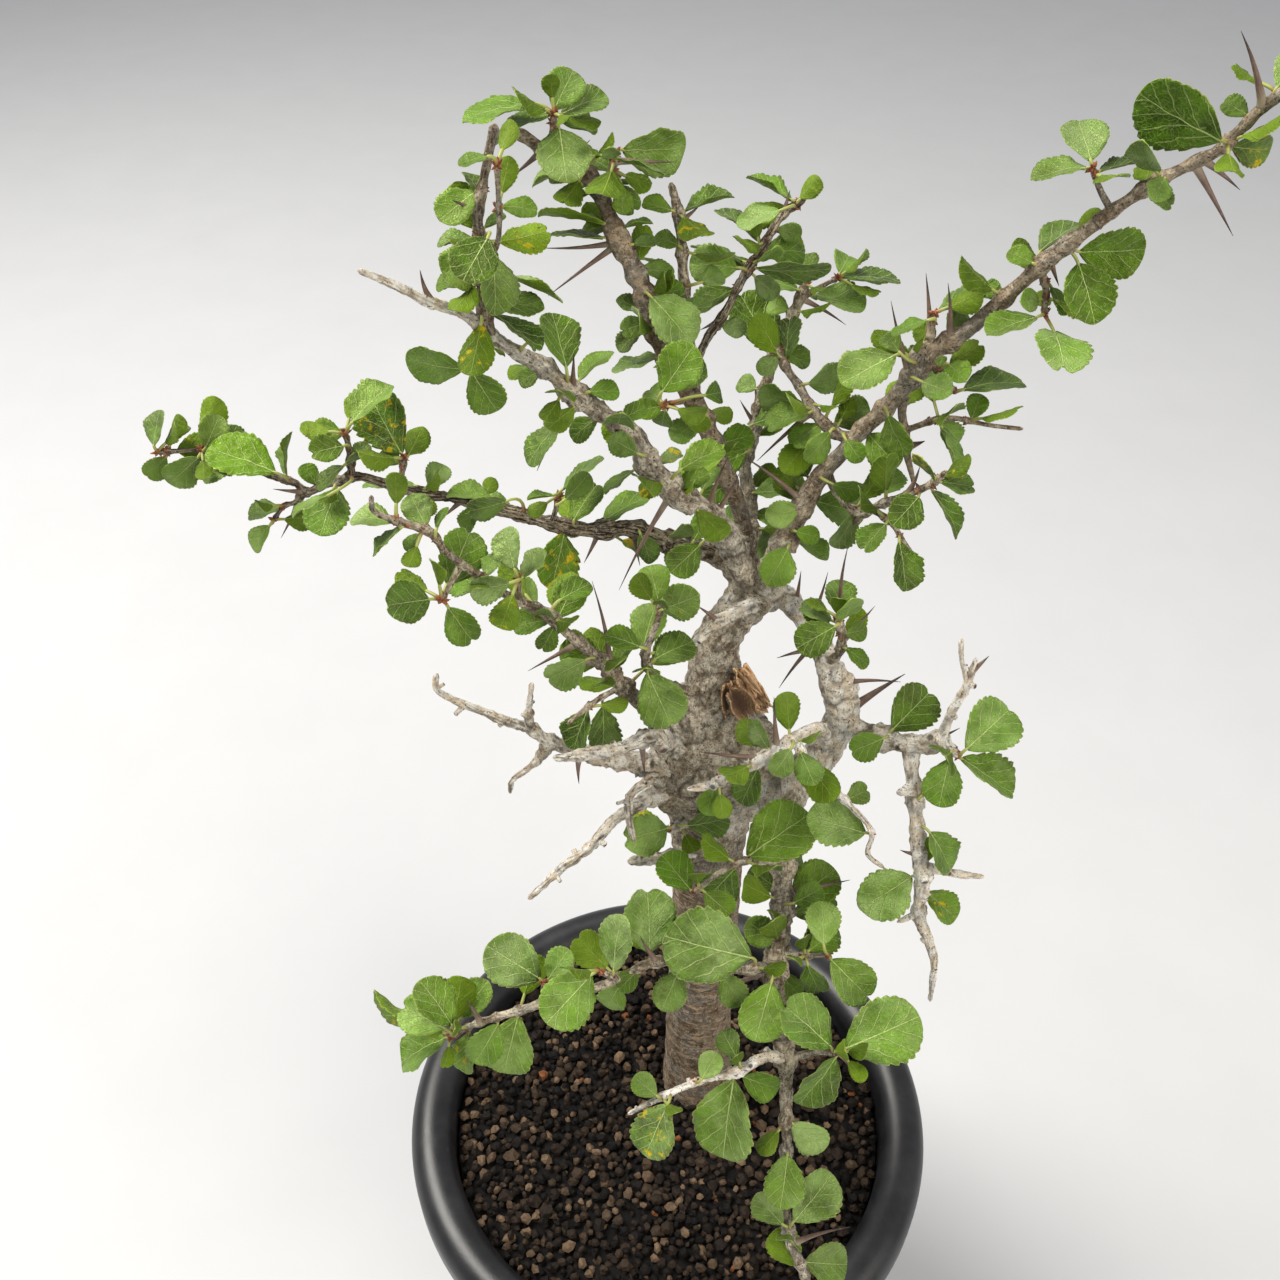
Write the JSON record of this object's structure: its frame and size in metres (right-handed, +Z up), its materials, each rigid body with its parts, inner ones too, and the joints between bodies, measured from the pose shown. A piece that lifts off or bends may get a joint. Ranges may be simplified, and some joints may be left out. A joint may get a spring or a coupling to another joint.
{
  "type": "commiphora orbicularis bonsai",
  "caption": "Small thorny bonsai tree with a swollen, forked trunk and spreading leafy branches, growing in loose dark grit in a round black plastic pot with a broad rounded rim.",
  "frame": {"origin": "centre of the pot's underside", "axes": "+Z up along the trunk; +X to the right and -Y towards the viewer of the reference picture"},
  "size_m": [0.2142, 0.1661, 0.4158],
  "materials": {
    "pot_plastic": "smooth moulded black plastic with a low sheen",
    "soil_grit": "loose dark brown and black grains of 2 to 4 mm with a few tan, grey and red ones",
    "bark": "thin grey-beige bark with dark specks, fissured and flaking, and whitish dead wood",
    "leafy_wood": "grey bark, purple-brown thorns, and matte green toothed leaves with pale veins"
  },
  "bodies": {
    "root": {"pot": "pot_plastic", "soil": "soil_grit", "trunk": "bark", "long_left_branch": "leafy_wood", "long_left_branch_end": "leafy_wood", "second_left_branch": "leafy_wood", "crossing_limb": "leafy_wood", "upper_left_stem": "leafy_wood", "arching_limb": "leafy_wood", "top_stems": "leafy_wood", "leader": "leafy_wood", "right_limb": "leafy_wood", "right_limb_end": "leafy_wood", "side_branch": "leafy_wood", "right_twig": "leafy_wood", "loop_twig": "leafy_wood", "inner_twig": "leafy_wood", "front_twig": "leafy_wood", "right_low_branch": "leafy_wood", "front_branch": "leafy_wood", "front_branch_end": "leafy_wood", "low_left_branch": "leafy_wood", "low_spur": "leafy_wood"}
  },
  "joints": []
}
